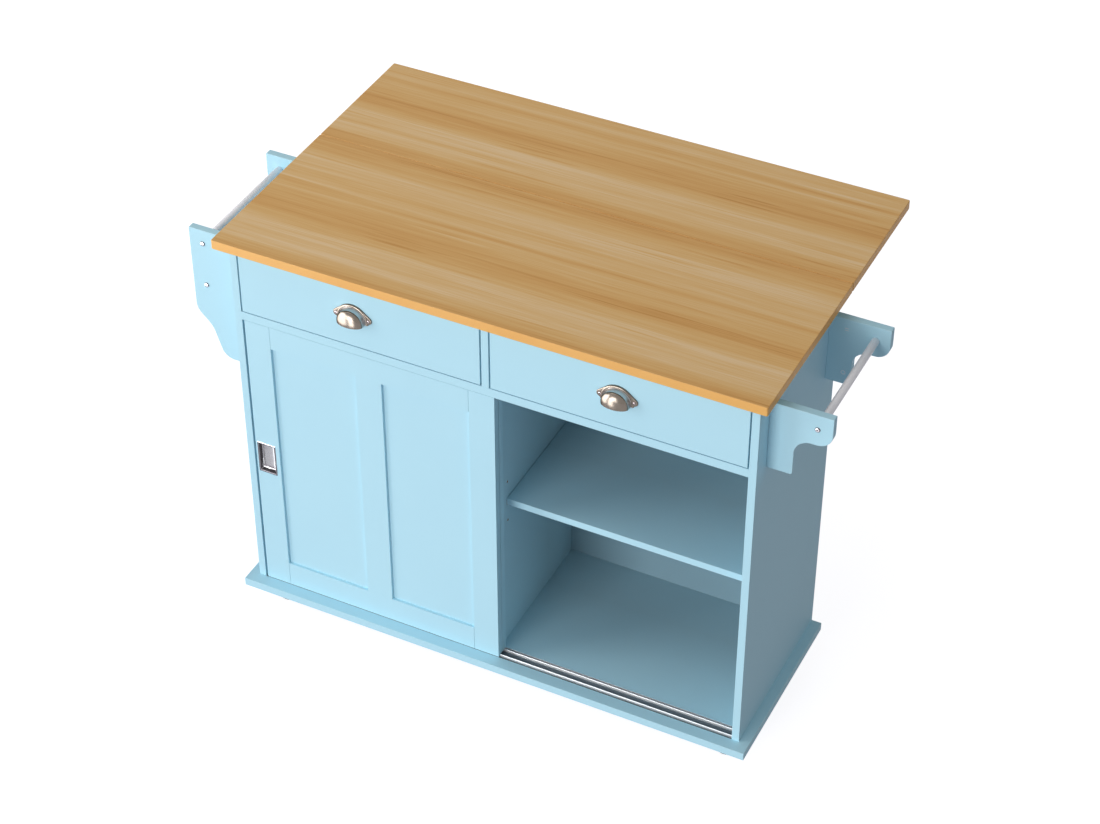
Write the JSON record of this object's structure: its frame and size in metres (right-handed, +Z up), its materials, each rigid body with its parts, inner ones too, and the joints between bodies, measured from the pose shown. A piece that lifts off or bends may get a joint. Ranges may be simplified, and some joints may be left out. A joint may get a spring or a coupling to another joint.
{
  "type": "kitchen island cart",
  "caption": "Rolling kitchen island: painted cabinet with drawers, by-pass sliding doors and shelves, wood-look top with a rear drop leaf, spice rack and towel rail.",
  "frame": {"origin": "floor level under the middle of the whole outline, leaf raised", "axes": "+X to the user's right when facing the doors, +Y to the back where the leaf is, +Z up"},
  "size_m": [1.291, 0.691, 0.914],
  "materials": {
    "blue_paint": "satin painted board",
    "white_board": "melamine-faced board",
    "wood_top": "satin wood-look laminate",
    "brushed_nickel": "brushed nickel plate",
    "track_aluminium": "drawn aluminium",
    "zinc_steel": "zinc-plated steel",
    "rod_coat": "satin pale grey coating",
    "black_nylon": "moulded nylon"
  },
  "bodies": {
    "cabinet": {"base_board": "blue_paint", "side_panel_left": "blue_paint", "side_panel_right": "blue_paint", "centre_divider": "blue_paint", "drawer_deck": "blue_paint", "drawer_partition": "blue_paint", "top_stretcher": "white_board", "back_panel": "blue_paint", "shelf_left": "blue_paint", "shelf_right": "blue_paint", "bottom_track": "track_aluminium", "top_track": "track_aluminium", "countertop": "wood_top", "leaf_bracket_leg_left": "zinc_steel", "leaf_bracket_leg_right": "zinc_steel", "left_drawer_channel_left": "zinc_steel", "left_drawer_channel_right": "zinc_steel", "right_drawer_channel_left": "zinc_steel", "right_drawer_channel_right": "zinc_steel", "spice_rack_front_plate": "blue_paint", "spice_rack_rear_plate": "blue_paint", "spice_rack_shelf": "blue_paint", "spice_rack_upper_rod": "rod_coat", "spice_rack_lower_rod": "rod_coat", "towel_rail_front_plate": "blue_paint", "towel_rail_rear_plate": "blue_paint", "towel_rail_rod": "rod_coat"},
    "front_door": {"front_door_panel": "blue_paint", "front_door_frame": "blue_paint", "front_door_pull": "brushed_nickel"},
    "rear_door": {"rear_door_panel": "blue_paint", "rear_door_frame": "blue_paint", "rear_door_pull": "brushed_nickel"},
    "left_drawer": {"left_drawer_front": "blue_paint", "left_drawer_box": "white_board", "left_drawer_bottom": "white_board", "left_drawer_pull": "brushed_nickel", "left_drawer_slide_left": "zinc_steel", "left_drawer_slide_right": "zinc_steel"},
    "right_drawer": {"right_drawer_front": "blue_paint", "right_drawer_box": "white_board", "right_drawer_bottom": "white_board", "right_drawer_pull": "brushed_nickel", "right_drawer_slide_left": "zinc_steel", "right_drawer_slide_right": "zinc_steel"},
    "leaf": {"drop_leaf": "wood_top", "leaf_bracket_arm_left": "zinc_steel", "leaf_bracket_arm_right": "zinc_steel"},
    "brace_left": {"leaf_bracket_brace_left": "zinc_steel"},
    "brace_right": {"leaf_bracket_brace_right": "zinc_steel"},
    "caster_front_left_fork": {"caster_front_left_fork": "zinc_steel"},
    "caster_front_left_wheel": {"caster_front_left_wheel": "black_nylon"},
    "caster_front_left_brake": {"caster_front_left_brake": "black_nylon"},
    "caster_front_right_fork": {"caster_front_right_fork": "zinc_steel"},
    "caster_front_right_wheel": {"caster_front_right_wheel": "black_nylon"},
    "caster_front_right_brake": {"caster_front_right_brake": "black_nylon"},
    "caster_rear_left_fork": {"caster_rear_left_fork": "zinc_steel"},
    "caster_rear_left_wheel": {"caster_rear_left_wheel": "black_nylon"},
    "caster_rear_right_fork": {"caster_rear_right_fork": "zinc_steel"},
    "caster_rear_right_wheel": {"caster_rear_right_wheel": "black_nylon"}
  },
  "joints": [
    {"name": "left_drawer_slide", "type": "slide", "parent": "cabinet", "child": "left_drawer", "axis": [0, -1, 0], "range_m": [0, 0.24]},
    {"name": "right_drawer_slide", "type": "slide", "parent": "cabinet", "child": "right_drawer", "axis": [0, -1, 0], "range_m": [0, 0.24]},
    {"name": "front_door_slide", "type": "slide", "parent": "cabinet", "child": "front_door", "axis": [1, 0, 0], "range_m": [0, 0.49125]},
    {"name": "rear_door_slide", "type": "slide", "parent": "cabinet", "child": "rear_door", "axis": [1, 0, 0], "range_m": [0, 0.49125]},
    {"name": "leaf_hinge", "type": "hinge", "parent": "cabinet", "child": "leaf", "pos_m": [0, 0.052, 0.889], "axis": [1, 0, 0], "range_deg": [-90, 0]},
    {"name": "brace_hinge_left", "type": "hinge", "parent": "cabinet", "child": "brace_left", "pos_m": [-0.3985, 0.0425, 0.719], "axis": [1, 0, 0], "range_deg": [-135, 0]},
    {"name": "brace_hinge_right", "type": "hinge", "parent": "cabinet", "child": "brace_right", "pos_m": [0.3985, 0.0425, 0.719], "axis": [1, 0, 0], "range_deg": [-135, 0]},
    {"name": "caster_front_left_swivel", "type": "hinge", "parent": "cabinet", "child": "caster_front_left_fork", "pos_m": [-0.506, -0.2855, 0.05], "axis": [0, 0, 1], "continuous": true},
    {"name": "caster_front_left_roll", "type": "hinge", "parent": "caster_front_left_fork", "child": "caster_front_left_wheel", "pos_m": [-0.488, -0.2855, 0.025], "axis": [0, 1, 0], "continuous": true},
    {"name": "caster_front_left_brake_hinge", "type": "hinge", "parent": "caster_front_left_fork", "child": "caster_front_left_brake", "pos_m": [-0.464, -0.2855, 0.0425], "axis": [0, -1, 0], "range_deg": [0, 20]},
    {"name": "caster_front_right_swivel", "type": "hinge", "parent": "cabinet", "child": "caster_front_right_fork", "pos_m": [0.506, -0.2855, 0.05], "axis": [0, 0, 1], "continuous": true},
    {"name": "caster_front_right_roll", "type": "hinge", "parent": "caster_front_right_fork", "child": "caster_front_right_wheel", "pos_m": [0.488, -0.2855, 0.025], "axis": [0, 1, 0], "continuous": true},
    {"name": "caster_front_right_brake_hinge", "type": "hinge", "parent": "caster_front_right_fork", "child": "caster_front_right_brake", "pos_m": [0.464, -0.2855, 0.0425], "axis": [0, 1, 0], "range_deg": [0, 20]},
    {"name": "caster_rear_left_swivel", "type": "hinge", "parent": "cabinet", "child": "caster_rear_left_fork", "pos_m": [-0.506, -0.0085, 0.05], "axis": [0, 0, 1], "continuous": true},
    {"name": "caster_rear_left_roll", "type": "hinge", "parent": "caster_rear_left_fork", "child": "caster_rear_left_wheel", "pos_m": [-0.488, -0.0085, 0.025], "axis": [0, 1, 0], "continuous": true},
    {"name": "caster_rear_right_swivel", "type": "hinge", "parent": "cabinet", "child": "caster_rear_right_fork", "pos_m": [0.506, -0.0085, 0.05], "axis": [0, 0, 1], "continuous": true},
    {"name": "caster_rear_right_roll", "type": "hinge", "parent": "caster_rear_right_fork", "child": "caster_rear_right_wheel", "pos_m": [0.488, -0.0085, 0.025], "axis": [0, 1, 0], "continuous": true}
  ],
  "couplings": [
    {"joint": "brace_hinge_left", "follows": "leaf_hinge", "ratio": 1.5},
    {"joint": "brace_hinge_right", "follows": "leaf_hinge", "ratio": 1.5}
  ]
}
